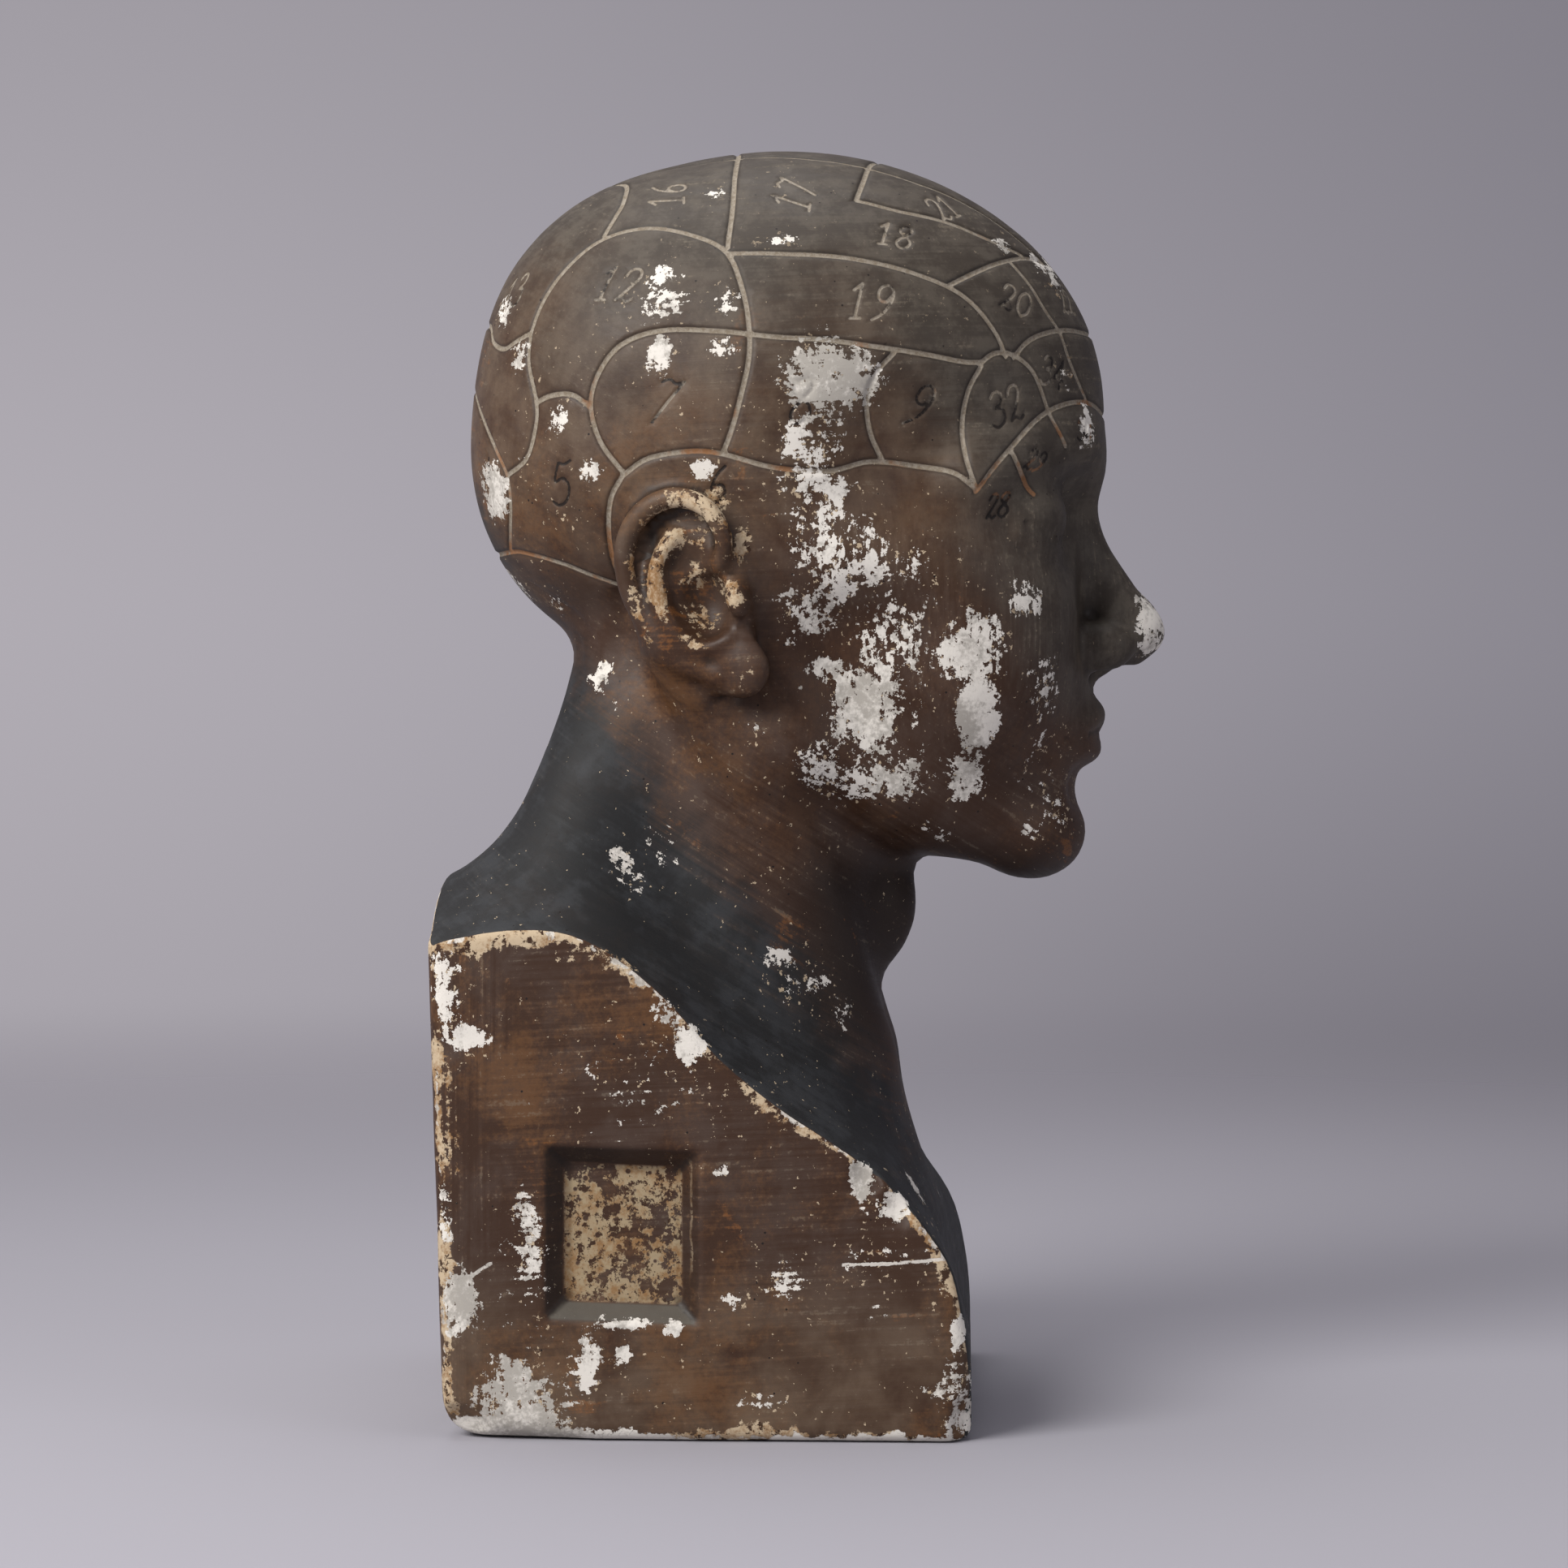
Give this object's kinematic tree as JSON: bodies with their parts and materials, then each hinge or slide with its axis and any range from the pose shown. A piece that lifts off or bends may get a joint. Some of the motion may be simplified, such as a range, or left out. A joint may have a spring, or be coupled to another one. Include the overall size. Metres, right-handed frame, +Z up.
{
  "type": "plaster phrenology bust",
  "caption": "Life-size bald head with closed eyes on a flat-sided block base with a sunk label panel; one painted plaster casting that stands on its underside.",
  "frame": {"origin": "on the flat underside, on the middle plane, halfway between the base's front plane and the top of its back plane", "axes": "+Z up, the face looks along -Y, +X is the bust's left side; the label panel is in the -X side"},
  "size_m": [0.18, 0.2269, 0.398],
  "materials": {
    "painted_plaster": "worn dark brown paint with a slight sheen, flaking to white plaster"
  },
  "bodies": {
    "root": {"bust": "painted_plaster"}
  },
  "joints": []
}
